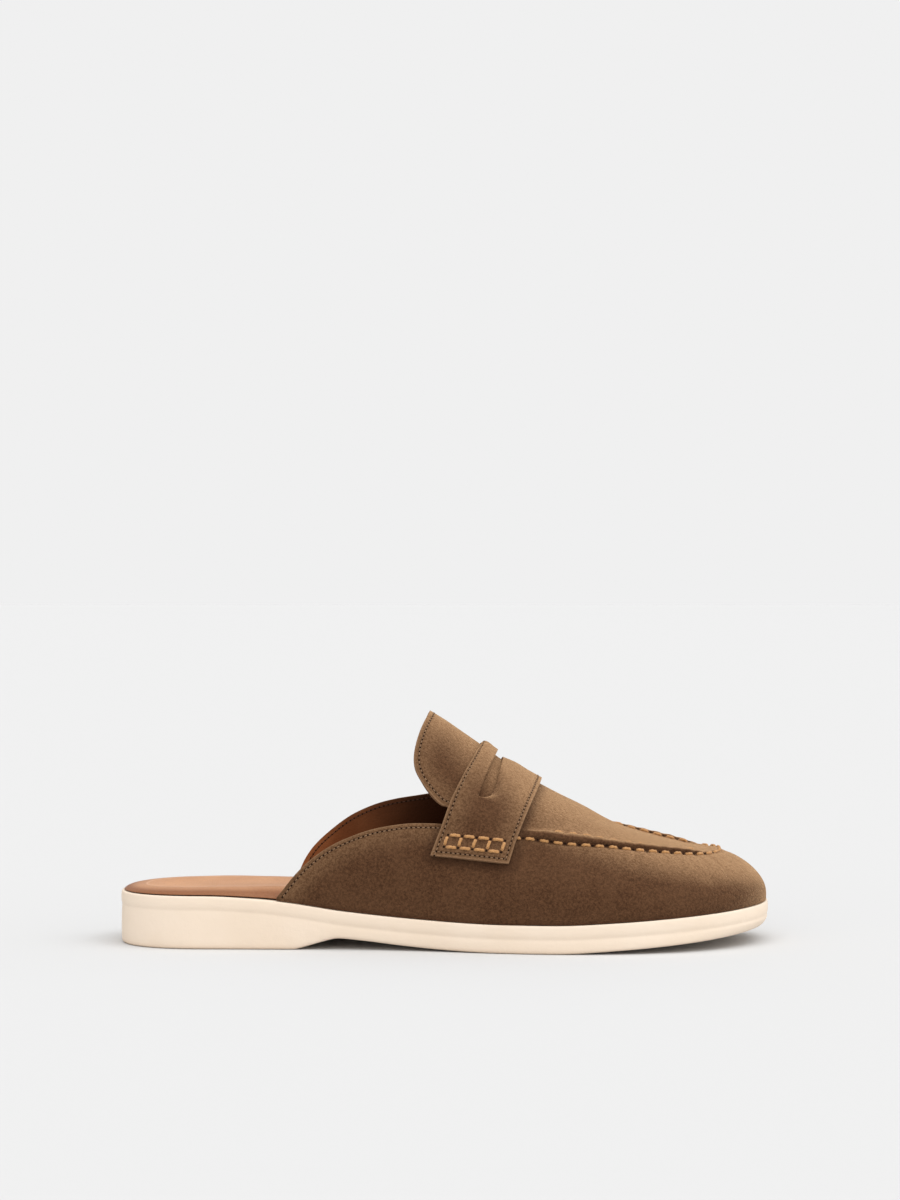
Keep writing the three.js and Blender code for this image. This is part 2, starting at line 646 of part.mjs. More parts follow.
// Station of the tongue's rear edge, found where the skin there has the edge's own height
function tongueRear(side, down) {
  const low = seamPoint(side, sweepAt(THROAT_AT)).z;
  const edge = (up) => LENGTH * onSide(tongueEdgeAt, side, up);
  const high = crestHeight(edge(1));
  let x = edge(1 - down);
  for (let turn = 0; turn < SEARCH_TURNS; turn++) {
    const up = (skinPoint(side, x, tongueClimb(x, down)).z - low) / (high - low);
    x = THREE.MathUtils.lerp(x, edge(up), 0.5);
  }
  return x;
}

// Tongue: the crown's rear end, which stands free behind the strap and flares a little
const EDGE_CROWDING = 1.15;

function tongueGeometry() {
  const rows = Array.from({ length: TONGUE_ROWS + 1 }, () => []);
  for (let k = -TONGUE_COLUMNS; k <= TONGUE_COLUMNS; k++) {
    const down = Math.abs(k) / TONGUE_COLUMNS;
    const side = k < 0 ? OUTER : INNER;
    const rear = tongueRear(side, down);
    rows.forEach((row, i) => {
      const x = THREE.MathUtils.lerp(rear, JOINT_AT - TONGUE_GAP, (i / TONGUE_ROWS) ** EDGE_CROWDING);
      const climb = tongueClimb(x, down);
      const strapRear = strapStation(strapClimb(side, climb), 0);
      const free = THREE.MathUtils.clamp((strapRear - x) / FLARE_LENGTH, 0, 1);
      row.push({ side, x, climb, flare: TONGUE_FLARE * free ** 2 * Math.sqrt(down) });
    });
  }
  return skinSheet(rows, -TONGUE_THICKNESS, 0);
}

// How far up between the strap's end and the crest a place on the skin lies
function strapClimb(side, climb) {
  const x = (LENGTH * (strapAt.rear(0.5) + strapAt.front(0.5))) / 2;
  const height = (place) => skinPoint(side, x, place).z;
  return (height(climb) - height(STRAP_END)) / (height(2) - height(STRAP_END));
}

const strapStation = (up, across) =>
  LENGTH * THREE.MathUtils.lerp(strapAt.rear(up), strapAt.front(up), across);

const wasm = await Module();
wasm.setup();

function solid(geometry) {
  const bare = geometry.clone();
  bare.deleteAttribute('normal');
  const merged = mergeVertices(bare, 1e-4);
  const mesh = new wasm.Mesh({
    numProp: 3,
    vertProperties: Float32Array.from(merged.attributes.position.array),
    triVerts: Uint32Array.from(merged.index.array),
  });
  return new wasm.Manifold(mesh);
}

function geometryOf(manifold) {
  const mesh = manifold.getMesh();
  const geometry = new THREE.BufferGeometry();
  geometry.setAttribute('position', new THREE.Float32BufferAttribute(mesh.vertProperties, 3));
  geometry.setIndex([...mesh.triVerts]);
  geometry.computeVertexNormals();
  return geometry;
}

// Saddle strap: a band over the instep from side to side, with a slot across its crest
function strapGeometry() {
  const climbs = [];
  for (let i = 0; i < STRAP_WALL_ROWS; i++) {
    climbs.push(THREE.MathUtils.lerp(STRAP_END, 1, i / STRAP_WALL_ROWS));
  }
  for (let i = 0; i < STRAP_ROWS; i++) climbs.push(1 + i / STRAP_ROWS);
  const places = [
    ...climbs.map((climb) => ({ side: OUTER, climb })),
    { side: OUTER, climb: 2 },
    ...climbs.map((climb) => ({ side: INNER, climb })).reverse(),
  ];
  const band = places.map(({ side, climb }) => {
    const up = strapClimb(side, climb);
    const row = [];
    for (let k = 0; k <= STRAP_COLUMNS; k++) {
      row.push({ side, climb, x: strapStation(up, k / STRAP_COLUMNS) });
    }
    return row;
  });
  const slot = [];
  for (let i = 0; i <= 2 * SLOT_ROWS; i++) {
    const side = i < SLOT_ROWS ? OUTER : INNER;
    const climb = 2 - Math.abs(i / SLOT_ROWS - 1);
    const up = strapClimb(side, climb);
    if (up < SLOT[0].climb) continue;
    slot.push([slotAt.rear(up), slotAt.front(up)]
      .map((across) => ({ side, climb, x: strapStation(up, across) })));
  }
  const strap = solid(skinSheet(band, STRAP_CLEARANCE, STRAP_CLEARANCE + STRAP_THICKNESS));
  const cut = solid(skinSheet(slot, -STRAP_THICKNESS, STRAP_CLEARANCE + 2 * STRAP_THICKNESS));
  return geometryOf(strap.subtract(cut));
}

const rubber = new THREE.MeshStandardMaterial({ color: 0xeadcc4, roughness: 0.62, metalness: 0 });
const leather = new THREE.MeshStandardMaterial({ color: 0xc19468, roughness: 0.55, metalness: 0 });
const suede = new THREE.MeshStandardMaterial({ color: 0x8a6f57, roughness: 0.95, metalness: 0 });
const suedeTongue = suede.clone();
const suedeStrap = suede.clone();

const group = new THREE.Group();
function part(name, geometry, material) {
  const mesh = new THREE.Mesh(geometry, material);
  mesh.name = name;
  group.add(mesh);
}

const sole = soleGeometry();
part('sole', sole, rubber);
part('insole', insoleGeometry(), leather);
part('upper', upperGeometry(), suede);
part('tongue', tongueGeometry(), suedeTongue);
part('saddle_strap', strapGeometry(), suedeStrap);

// The origin lies on the floor under the middle of the sole
sole.computeBoundingBox();
const middle = sole.boundingBox.getCenter(new THREE.Vector3());
group.position.set(-middle.x, -middle.y, 0);
group.updateMatrixWorld(true);

export default group;
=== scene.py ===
import json
import math

import bmesh
import bpy
import numpy as np
from mathutils import Matrix, Vector
from mathutils.bvhtree import BVHTree
from mathutils.kdtree import KDTree

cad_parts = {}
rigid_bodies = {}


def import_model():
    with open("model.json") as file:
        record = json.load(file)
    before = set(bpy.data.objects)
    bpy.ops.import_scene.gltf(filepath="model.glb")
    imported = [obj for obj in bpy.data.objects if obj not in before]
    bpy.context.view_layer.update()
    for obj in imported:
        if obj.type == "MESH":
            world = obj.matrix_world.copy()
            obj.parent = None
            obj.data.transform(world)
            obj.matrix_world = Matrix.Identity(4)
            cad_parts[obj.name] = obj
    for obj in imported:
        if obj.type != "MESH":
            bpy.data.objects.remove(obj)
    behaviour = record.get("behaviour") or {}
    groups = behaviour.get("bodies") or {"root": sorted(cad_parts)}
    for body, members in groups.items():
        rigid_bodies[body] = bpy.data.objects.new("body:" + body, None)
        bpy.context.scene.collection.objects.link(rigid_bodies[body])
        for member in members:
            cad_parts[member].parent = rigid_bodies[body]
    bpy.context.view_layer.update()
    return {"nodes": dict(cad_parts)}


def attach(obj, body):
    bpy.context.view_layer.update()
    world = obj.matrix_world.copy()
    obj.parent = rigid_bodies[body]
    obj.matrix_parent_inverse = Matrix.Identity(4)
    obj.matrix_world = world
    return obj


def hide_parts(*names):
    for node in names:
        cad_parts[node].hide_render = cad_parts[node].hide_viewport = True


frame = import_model()

# Camera: level, at the height of a low table's edge, a good metre from the shoe's outer side,
# so that the floor is seen almost edge on.
bpy.ops.object.select_all(action="DESELECT")
bpy.ops.object.camera_add(location=(0.002, -1.0983, 0.151), rotation=(math.radians(90), 0, 0))
camera = bpy.context.object
camera.name = "camera"
camera.data.lens = 74.13
camera.data.sensor_width = 36
camera.data.clip_end = 200
bpy.context.scene.camera = camera

# Studio: a pale floor that runs off into an equally pale background, a very broad soft light
# overhead, and weaker ones from the camera's side and from beyond the toe.
BACKGROUND = 0.871
AMBIENT = 0.62
LIGHTS = {"overhead": {"level": 0.56, "tilt": 16, "turn": 20},
          "front": {"level": 0.27, "tilt": 74, "turn": -25},
          "toe side": {"level": 0.42, "tilt": 62, "turn": 82}}

world = bpy.data.worlds.new("studio")
world.use_nodes = True
bpy.context.scene.world = world
sky = world.node_tree.nodes["Background"]
path = world.node_tree.nodes.new("ShaderNodeLightPath")
tone = world.node_tree.nodes.new("ShaderNodeMapRange")
tone.inputs["To Min"].default_value = AMBIENT
tone.inputs["To Max"].default_value = BACKGROUND
world.node_tree.links.new(path.outputs["Is Camera Ray"], tone.inputs["Value"])
world.node_tree.links.new(tone.outputs["Result"], sky.inputs["Strength"])
sky.inputs["Color"].default_value = (1, 1, 1, 1)

floor_light = AMBIENT
for name, light in LIGHTS.items():
    tilt = math.radians(light["tilt"])
    bpy.ops.object.light_add(type="SUN", location=(0, -1, 2),
                             rotation=(tilt, 0, math.radians(light["turn"])))
    lamp = bpy.context.object
    lamp.name = name
    lamp.data.energy = math.pi * light["level"]
    lamp.data.angle = math.radians(70)
    floor_light += light["level"] * math.cos(tilt)

bpy.ops.mesh.primitive_plane_add(size=160, location=(0, 0, 0))
floor = bpy.context.object
floor.name = "floor"
paper = bpy.data.materials.new("pale floor")
paper.use_nodes = True
paper_shader = paper.node_tree.nodes["Principled BSDF"]
paper_shader.inputs["Base Color"].default_value = (BACKGROUND / floor_light,) * 3 + (1,)
paper_shader.inputs["Roughness"].default_value = 1
paper_shader.inputs["Specular IOR Level"].default_value = 0
floor.data.materials.append(paper)
bpy.context.scene.view_settings.view_transform = "Standard"


# Sole: one moulded unit of cream rubber. Its upper band and its lower block meet in a soft
# groove, and the heel block, arch and toe spring are part of the moulding.
class Value:
    """One output of a material's nodes. Arithmetic on it adds Math nodes."""

    def __init__(self, finish, socket):
        self.finish, self.socket = finish, socket

    def maths(self, operation, first, second=0.0):
        return self.finish.add("ShaderNodeMath", {"operation": operation}, {0: first, 1: second})

    def __add__(self, other):
        return self.maths("ADD", self, other)

    def __sub__(self, other):
        return self.maths("SUBTRACT", self, other)

    def __rsub__(self, other):
        return self.maths("SUBTRACT", other, self)

    def __mul__(self, other):
        return self.maths("MULTIPLY", self, other)

    __radd__, __rmul__ = __add__, __mul__

    def cosine(self):
        return self.maths("COSINE", self)

    def size(self):
        return self.maths("ABSOLUTE", self)

    def ease(self, low, high):
        """0 up to low and 1 from high on, soft in between."""
        return self.finish.add("ShaderNodeMapRange", {"interpolation_type": "SMOOTHSTEP"},
                               {"Value": self, "From Min": low, "From Max": high})


class Finish:
    """A material. Constants are set on its shader, and what varies is linked to it."""

    def __init__(self, name, constants):
        self.material = bpy.data.materials.new(name)
        self.material.use_nodes = True
        self.nodes = self.material.node_tree.nodes
        self.links = self.material.node_tree.links
        self.shader = self.nodes["Principled BSDF"]
        self.fill(self.shader, constants)

    def fill(self, node, inputs):
        for key, value in inputs.items():
            if isinstance(value, Value):
                self.links.new(value.socket, node.inputs[key])
            elif isinstance(value, tuple) and node.inputs[key].type == "RGBA":
                node.inputs[key].default_value = (*value[:3], 1)
            else:
                node.inputs[key].default_value = value

    def add(self, kind, settings=None, inputs=None, output=0):
        node = self.nodes.new(kind)
        for key, value in (settings or {}).items():
            setattr(node, key, value)
        self.fill(node, inputs or {})
        return Value(self, node.outputs[output])

    def place(self):
        return self.add("ShaderNodeTexCoord", output="Object")

    def noise(self, grain, detail=2.0, rough=0.5):
        """Soft noise whose spots are about grain metres across."""
        return self.add("ShaderNodeTexNoise", {}, {
            "Vector": self.place(), "Scale": 1 / grain, "Detail": detail, "Roughness": rough})

    def cells(self, size):
        """Distance to the middle of pebbled cells of about that size."""
        return self.add("ShaderNodeTexVoronoi", {"feature": "SMOOTH_F1"}, {
            "Vector": self.place(), "Scale": 1 / size, "Smoothness": 0.4})

    def mix(self, factor, first, second):
        return self.add("ShaderNodeMix", {"data_type": "RGBA"},
                        {0: factor, 6: first, 7: second}, 2)

    def stored(self, name):
        return self.add("ShaderNodeAttribute", {"attribute_name": name}, output="Fac")

    def facing(self, way):
        """Cosine between the surface's normal and a unit vector."""
        normal = self.add("ShaderNodeNewGeometry", output="Normal")
        return self.add("ShaderNodeVectorMath", {"operation": "DOT_PRODUCT"},
                        {0: normal, 1: way}, "Value")

    def ordinate(self, axis):
        return self.add("ShaderNodeSeparateXYZ", {}, {"Vector": self.place()}, axis)

    def relief(self, height, depth, under=None):
        """A bump of that depth in metres, laid over the one under it."""
        inputs = {"Height": height, "Distance": depth, "Strength": 1.0}
        if under:
            inputs["Normal"] = under
        return self.add("ShaderNodeBump", {}, inputs)

    def coat(self, colour=None, roughness=None, normal=None):
        for socket, value in (("Base Color", colour), ("Roughness", roughness),
                              ("Normal", normal)):
            if value:
                self.links.new(value.socket, self.shader.inputs[socket])
        return self.material


MERGE_REACH = 2e-6


def merged_copy(node, name):
    """A copy of a CAD node as the active piece, its loose triangles merged to quads."""
    bpy.ops.object.select_all(action="DESELECT")
    piece = bpy.data.objects.new(name, frame["nodes"][node].data.copy())
    bpy.context.scene.collection.objects.link(piece)
    piece.select_set(True)
    bpy.context.view_layer.objects.active = piece
    piece.data.materials.clear()
    bpy.ops.object.mode_set(mode="EDIT")
    bpy.ops.mesh.select_all(action="SELECT")
    bpy.ops.mesh.remove_doubles(threshold=MERGE_REACH)
    bpy.ops.mesh.customdata_custom_splitnormals_clear()
    bpy.ops.mesh.tris_convert_to_quads(face_threshold=math.pi, shape_threshold=math.pi)
    bpy.ops.object.mode_set(mode="OBJECT")
    return piece


def pick(piece, test):
    """Goes into edit mode with only those faces selected for which test holds."""
    bpy.ops.object.mode_set(mode="EDIT")
    bpy.ops.mesh.select_mode(type="FACE")
    bpy.ops.mesh.select_all(action="DESELECT")
    bpy.ops.object.mode_set(mode="OBJECT")
    for face in piece.data.polygons:
        face.select = test(face)
    bpy.ops.object.mode_set(mode="EDIT")


def finish_with(piece, kind, **settings):
    """Adds a modifier to the active piece and applies it."""
    modifier = piece.modifiers.new(kind.lower(), kind)
    for key, value in settings.items():
        setattr(modifier, key, value)
    bpy.ops.object.modifier_apply(modifier=modifier.name)


def points_of(piece):
    found = np.empty(len(piece.data.vertices) * 3)
    piece.data.vertices.foreach_get("co", found)
    return found.reshape(-1, 3)


def move_points(piece, points):
    piece.data.vertices.foreach_set("co", points.ravel())
    piece.data.update()


def rounded(piece, levels=2, turns=2):
    """Subdivides the active piece. In each turn its points are set out so that the smooth
    surface comes closer to the places that they had at first."""
    wanted = points_of(piece)
    modifier = piece.modifiers.new("rounded", "SUBSURF")
    modifier.levels = modifier.render_levels = levels
    modifier.boundary_smooth = "PRESERVE_CORNERS"
    for _ in range(turns):
        smooth = piece.evaluated_get(bpy.context.evaluated_depsgraph_get())
        control = points_of(piece)
        control[:len(wanted)] += wanted - points_of(smooth)[:len(wanted)]
        move_points(piece, control)
    bpy.ops.object.modifier_apply(modifier=modifier.name)
    bpy.ops.object.shade_smooth()


def settle(piece, slot, *materials, stands_for=()):
    """Gives a finished piece its materials and its place on the shoe."""
    for material in materials:
        piece.data.materials.append(material)
    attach(piece, "root")
    if stands_for:
        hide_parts(*stands_for)


SOLE_CAP_LEVEL = 0.955
SOLE_EDGE_HOLD = 0.0009
TREAD_PITCH, TREAD_DEPTH = 0.0042, 0.0007
TREAD_SLANT = 0.35

sole = merged_copy("sole", "sole_unit")
pick(sole, lambda face: abs(face.normal.z) > SOLE_CAP_LEVEL)
bpy.ops.mesh.inset(thickness=SOLE_EDGE_HOLD)
bpy.ops.object.mode_set(mode="OBJECT")
rounded(sole, turns=0)

rubber = Finish("cream rubber", {"Specular IOR Level": 0.35})
cloud = rubber.noise(0.03, 3)
speck = rubber.noise(0.0006, 2)
pressed = rubber.mix(cloud.ease(0.35, 0.7), (0.77, 0.635, 0.50), (0.80, 0.67, 0.54))
# The sole is made darker towards its bottom edge.
darker_low = rubber.mix(rubber.ordinate("Z").ease(0.003, 0.0), pressed, (0.75, 0.60, 0.46))
under = rubber.facing((0, 0, -1)).ease(0.85, 0.95)
wave = rubber.ordinate("X") + TREAD_SLANT * rubber.ordinate("Y").size()
tread = (wave * (2 * math.pi / TREAD_PITCH)).cosine().ease(-0.4, 0.1)
skin = rubber.relief(speck + 3 * rubber.noise(0.004), 0.00005)
settle(sole, "rubber", rubber.coat(
    colour=darker_low,
    roughness=0.52 + 0.14 * cloud,
    normal=rubber.relief(tread * under, TREAD_DEPTH, under=skin)),
    stands_for=["sole"])


# Insole: a padded footbed of smooth tan leather over foam, glued on the sole. At the open heel
# it is a shallow cup with a low ridge, from which it slopes down to the rim, with painted shade
# darkening that slope and a painted highlight along the ridge. It runs on inside the upper to
# the toe.
TURNED = 0.3
SIDEWAYS = 0.35
INSOLE_SPREAD = 0.0004
INSOLE_HEIGHT = 0.006
SLOPE_WIDTH, SLOPE_SHARE = 0.0108, 0.66
CUP_DEPTH, CUP_FROM = 0.0006, 0.001
SLOPE_ENDS = (-0.050, -0.020)
INSOLE_WORN = ((-0.144, -0.120, -0.105, -0.085, -0.068, -0.045, -0.020),
               (-0.0026, -0.0021, -0.0018, -0.0002, 0.0026, 0.0026, 0.0))


def normals_of(piece):
    found = np.empty(len(piece.data.vertices) * 3, np.float32)
    piece.data.vertex_normals.foreach_get("vector", found)
    return found.reshape(-1, 3)


def store(piece, name, values):
    piece.data.attributes.new(name, "FLOAT", "POINT")
    piece.data.attributes[name].data.foreach_set("value", np.asarray(values, np.float32))


insole = merged_copy("insole", "insole_pad")
points, normals = points_of(insole), normals_of(insole)
low = (normals[:, 2] < -TURNED) & (np.hypot(normals[:, 0], normals[:, 1]) > TURNED)
outward = normals[low, :2] / np.hypot(normals[low, 0], normals[low, 1])[:, None]
floor_line = points[normals[:, 2] < -TURNED]
floor_line = floor_line[floor_line[:, 0].argsort()]
points[low, :2] += outward * INSOLE_SPREAD
rise = points[:, 2] - np.interp(points[:, 0], floor_line[:, 0], floor_line[:, 2])
points[:, 2] += np.interp(points[:, 0], *INSOLE_WORN) * np.clip(rise / INSOLE_HEIGHT, 0, 1)
move_points(insole, points)
rounded(insole, levels=3, turns=0)
points = points_of(insole)
widest = points[np.abs(normals_of(insole)[:, 2]) < SIDEWAYS]
rim = KDTree(len(widest))
for i, spot in enumerate(widest):
    rim.insert((spot[0], spot[1], 0), i)
rim.balance()
inset = np.array([rim.find((x, y, 0))[2] for x, y in points[:, :2]])
fade = 1 - np.clip((points[:, 0] - SLOPE_ENDS[0]) / (SLOPE_ENDS[1] - SLOPE_ENDS[0]), 0, 1)
slope = np.clip(1 - inset / SLOPE_WIDTH, 0, 1) ** 2 * fade
cup = CUP_DEPTH * np.clip((inset - SLOPE_WIDTH) / SLOPE_WIDTH, 0, 1) * fade
level = np.interp(points[:, 0], floor_line[:, 0], floor_line[:, 2])
rise = points[:, 2] - level
points[:, 2] -= np.maximum(rise, 0) * SLOPE_SHARE * slope + cup * (rise > CUP_FROM)
move_points(insole, points)
store(insole, "slope", slope)

tan = Finish("tan footbed leather", {"Specular IOR Level": 0.28})
pores = tan.cells(0.0007)
tone = tan.noise(0.022, 4, 0.6)
tone_and_painted_light = tan.mix(tone.ease(0.3, 0.72), (0.50, 0.242, 0.115), (0.58, 0.296, 0.148))
tone_and_painted_light = tan.mix(0.35 * tan.noise(0.0011, 2).ease(0.4, 0.75), tone_and_painted_light, (0.37, 0.172, 0.083))
slope = tan.stored("slope")
# Painted shade: the slope down to the rim is darkened.
tone_and_painted_light = tan.mix(0.18 * slope.ease(0.003, 0.03) + 0.60 * slope.ease(0.06, 0.75), tone_and_painted_light,
               (0.175, 0.052, 0.013))
# Painted highlight: a lighter line along the ridge of the heel cup.
ridge = slope.ease(0.0, 0.004) * slope.ease(0.03, 0.004)
tone_and_painted_light = tan.mix(0.28 * ridge, tone_and_painted_light, (0.80, 0.52, 0.34))
settle(insole, "insole_leather", tan.coat(
    colour=tone_and_painted_light,
    roughness=0.38 + 0.16 * tone,
    normal=tan.relief(pores.ease(0.0, 0.7) + 0.6 * tan.noise(0.0016, 3), 0.00012)),
    stands_for=["insole"])


# Upper: vamp and side walls of brushed suede, lasted under at the foot, lined with red-brown
# leather, its topline cut raw. Crown and wall are gathered together by hand in a raised seam.
UPPER_THICKNESS = 0.002
UPPER_SPOT = (0.050, -0.047, 0.030)
RIM_SHARPNESS = math.radians(52)
CUT_ROUND = 0.0006
CUT_SHARPNESS = math.radians(60)
LINE_STEP = 0.001
SEAM_PITCH = 0.0061
SEAM_POINTS = [(0.028, -0.036, 0.049), (0.046, -0.0355, 0.047), (0.066, -0.033, 0.045),
               (0.086, -0.0285, 0.0425), (0.101, -0.023, 0.041), (0.112, -0.016, 0.0395),
               (0.1195, -0.008, 0.0395), (0.1225, 0.002, 0.0395), (0.120, 0.014, 0.040),
               (0.112, 0.021, 0.040), (0.101, 0.0255, 0.0425), (0.086, 0.0295, 0.0455),
               (0.066, 0.033, 0.049), (0.046, 0.035, 0.0525), (0.028, 0.0355, 0.0565)]
SEAM_REACH = 0.0010
SEAM_EASE_TURNS = 30
SMOOTHED = [((0.110, -0.009, 0.036), (0.126, 0.016, 0.060)),
            ((0.026, 0.026, 0.050), (0.040, 0.036, 0.070)),
            ((0.026, -0.038, 0.046), (0.036, -0.030, 0.056))]
SMOOTH_TURNS = 12
CROWN_ROW_FROM, CROWN_ROW_TO = 0.046, 0.112
CROWN_ROW_SHARE = 0.6
DROP_HEIGHT = 0.02
CROWN_ROW_INSET = ((0.030, 0.065, 0.100, 0.112), (0.0020, 0.0036, 0.0038, 0.0034))
HOLE_REACH = 0.0013
PUCKER_DEPTH, PUCKER_REACH, TOE_PUCKER_REACH = 0.00045, 0.0038, 0.0085
TOE_PUCKERS_FROM, TOE_PUCKERS_RUN = 0.095, 0.02
ROW_FADE = 0.006
VALLEY_DEPTH, VALLEY_REACH = 0.00055, 0.0010
TIP_FROM, TIP_RUN, TIP_REACH, TIP_CALM = 0.110, 0.006, 0.004, 0.7


def keep_skin(piece, seed):
    """Leaves only the face of the piece that lies at seed and ends at its sharp rims."""
    bpy.ops.object.mode_set(mode="EDIT")
    bpy.ops.mesh.select_mode(type="EDGE")
    bpy.ops.mesh.select_all(action="DESELECT")
    bpy.ops.mesh.edges_select_sharp(sharpness=RIM_SHARPNESS)
    bpy.ops.mesh.mark_sharp()
    bpy.ops.object.mode_set(mode="OBJECT")
    nearest = min(piece.data.polygons, key=lambda face: (face.center - Vector(seed)).length)
    nearest = int(nearest.index)
    pick(piece, lambda face: face.index == nearest)
    bpy.ops.mesh.select_linked(delimit={"SHARP"})
    bpy.ops.mesh.select_all(action="INVERT")
    bpy.ops.mesh.delete(type="FACE")
    bpy.ops.mesh.select_mode(type="EDGE")
    bpy.ops.mesh.select_all(action="SELECT")
    bpy.ops.mesh.mark_sharp(clear=True)
    bpy.ops.object.mode_set(mode="OBJECT")


def surface(piece):
    return BVHTree.FromPolygons([v.co for v in piece.data.vertices],
                                [tuple(face.vertices) for face in piece.data.polygons])


def evenly(line, pitch):
    """Points at an even pitch along a line of points."""
    line = np.asarray(line, float)
    along = np.concatenate([[0], np.cumsum(np.linalg.norm(np.diff(line, axis=0), axis=1))])
    wanted = np.linspace(0, along[-1], max(1, round(along[-1] / pitch)) + 1)
    return np.stack([np.interp(wanted, along, line[:, i]) for i in range(3)], 1)


def eased(line, turns=3):
    """The same line with its corners cut, both ends kept."""
    for _ in range(turns):
        near, far = 0.75 * line[:-1] + 0.25 * line[1:], 0.25 * line[:-1] + 0.75 * line[1:]
        cut = np.stack([near, far], 1).reshape(-1, 3)
        line = np.concatenate([line[:1], cut, line[-1:]])
    return line


def onto(skin, line):
    return np.array([skin.find_nearest(Vector(p))[0] for p in line])


def open_edge(piece, keep):
    """The points of a piece's open edge where keep holds, in order along it."""
    loose = bmesh.new()
    loose.from_mesh(piece.data)
    links = {}
    for edge in loose.edges:
        first, second = edge.verts
        if edge.is_boundary and keep(first.co) and keep(second.co):
            links.setdefault(first, []).append(second)
            links.setdefault(second, []).append(first)
    best = []
    for start in [v for v in links if len(links[v]) == 1]:
        chain, last = [start], None
        while True:
            ahead = [v for v in links[chain[-1]] if v is not last]
            if not ahead:
                break
            last = chain[-1]
            chain.append(ahead[0])
        best = max(best, chain, key=len)
    line = np.array([v.co[:] for v in best])
    loose.free()
    return line


def inside_of(skin, line, inset):
    """A line on a skin that runs beside its open edge, at that distance from it."""
    found = []
    for i, point in enumerate(line):
        run = Vector(line[min(i + 1, len(line) - 1)] - line[max(i - 1, 0)]).normalized()
        normal = skin.find_nearest(Vector(point))[1]
        step = normal.cross(run).normalized() * inset
        ends = [skin.find_nearest(Vector(point) + way) for way in (step, -step)]
        found.append(min(ends, key=lambda hit: hit[3])[0])
    return np.array(found)


def distance_to(piece, line, step=0.0004):
    """Each point's distance to a line, its place along it, and the line's even points."""
    dense = evenly(line, step)
    tree = KDTree(len(dense))
    for i, p in enumerate(dense):
        tree.insert(p, i)
    tree.balance()
    hits = [tree.find(v.co) for v in piece.data.vertices]
    nearest = np.array([hit[1] for hit in hits])
    pitch = np.linalg.norm(dense[1] - dense[0])
    return np.array([hit[2] for hit in hits]), nearest * pitch, dense


def hollows(piece):
    """How far each point of a skin lies below the mean of its neighbours."""
    places = points_of(piece)
    ends = np.empty(len(piece.data.edges) * 2, int)
    piece.data.edges.foreach_get("vertices", ends)
    total, count = np.zeros_like(places), np.zeros((len(places), 1))
    for near, far in (ends.reshape(-1, 2).T, ends.reshape(-1, 2)[:, ::-1].T):
        np.add.at(total, near, places[far])
        np.add.at(count, near, 1)
    return ((total / count - places) * normals_of(piece)).sum(1)


def into_valley(piece, skin, line, reach):
    """The line moved to the deepest hollow within reach of it, and smoothed."""
    places, depth = points_of(piece), hollows(piece)
    found = []
    for point in onto(skin, line):
        gap = np.linalg.norm(places - point, axis=1)
        near = np.flatnonzero(gap < reach)
        best = near[(depth[near] - gap[near] * 0.01).argmax()] if len(near) else None
        found.append(point if best is None else places[best])
    found = np.array(found)
    for _ in range(SEAM_EASE_TURNS):
        found[1:-1] = (found[:-2] + 2 * found[1:-1] + found[2:]) / 4
    return onto(skin, evenly(found, LINE_STEP / 2))


def smoothed(piece):
    """Evens out the spots where the lip runs out: at the toe and at both ends."""
    for low, high in SMOOTHED:
        pick(piece, lambda face: all(a < c < b for a, c, b in zip(low, face.center, high)))
        bpy.ops.mesh.vertices_smooth(factor=0.5, repeat=SMOOTH_TURNS)
        bpy.ops.object.mode_set(mode="OBJECT")


upper = merged_copy("upper", "upper_suede")
keep_skin(upper, UPPER_SPOT)
rounded(upper)
smoothed(upper)
upper_skin = surface(upper)
seam = onto(upper_skin, evenly(eased(np.array(SEAM_POINTS)), LINE_STEP))
seam = into_valley(upper, upper_skin, seam, SEAM_REACH)
seam_length = np.linalg.norm(np.diff(seam, axis=0), axis=1).sum()
stitch_pitch = seam_length / round(seam_length / SEAM_PITCH)

crown_rows = []
for side in (-1, 1):
    half = seam[(seam[:, 1] * side > 0) & (seam[:, 0] > CROWN_ROW_FROM)
                & (seam[:, 0] < CROWN_ROW_TO)]
    ahead = np.gradient(half, axis=0)
    inward = np.stack([ahead[:, 1], -ahead[:, 0], np.zeros(len(half))], 1)
    inward *= -np.sign((inward * half).sum(1))[:, None]
    inward /= np.linalg.norm(inward, axis=1)[:, None]
    inset = np.interp(half[:, 0], *CROWN_ROW_INSET)
    above = half + inward * inset[:, None] + np.array([0, 0, DROP_HEIGHT])
    crown_rows.append(np.array([upper_skin.ray_cast(Vector(spot), Vector((0, 0, -1)))[0]
                                for spot in above]))

points, normals = points_of(upper), normals_of(upper)
sink = np.zeros(len(points))
for line, spread in ((seam, 1.0), (crown_rows[0], CROWN_ROW_SHARE),
                     (crown_rows[1], CROWN_ROW_SHARE)):
    away, along, dense = distance_to(upper, line)
    length = np.linalg.norm(np.diff(dense, axis=0), axis=1).sum()
    phase = along / length * round(length / stitch_pitch)
    to_hole = np.abs((phase + 0.5) % 1 - 0.5) * stitch_pitch
    fade = np.clip(np.minimum(along, length - along) / ROW_FADE, 0, 1)
    toeward = np.clip((points[:, 0] - TOE_PUCKERS_FROM) / TOE_PUCKERS_RUN, 0, 1)
    reach = (PUCKER_REACH + (TOE_PUCKER_REACH - PUCKER_REACH) * toeward) * spread
    pucker = PUCKER_DEPTH * np.exp(-(to_hole / HOLE_REACH) ** 2) * np.exp(-away / reach)
    valley = VALLEY_DEPTH * np.exp(-(away / VALLEY_REACH) ** 2)
    at_tip = np.clip((points[:, 0] - TIP_FROM) / TIP_RUN, 0, 1) * (away < TIP_REACH)
    calm = 1 - TIP_CALM * at_tip
    sink += (pucker + valley) * fade * calm * (0.55 + 0.45 * spread)
    if line is seam:
        store(upper, "seam_away", np.where(fade <= 0, 1.0, away))
points -= normals * sink[:, None]
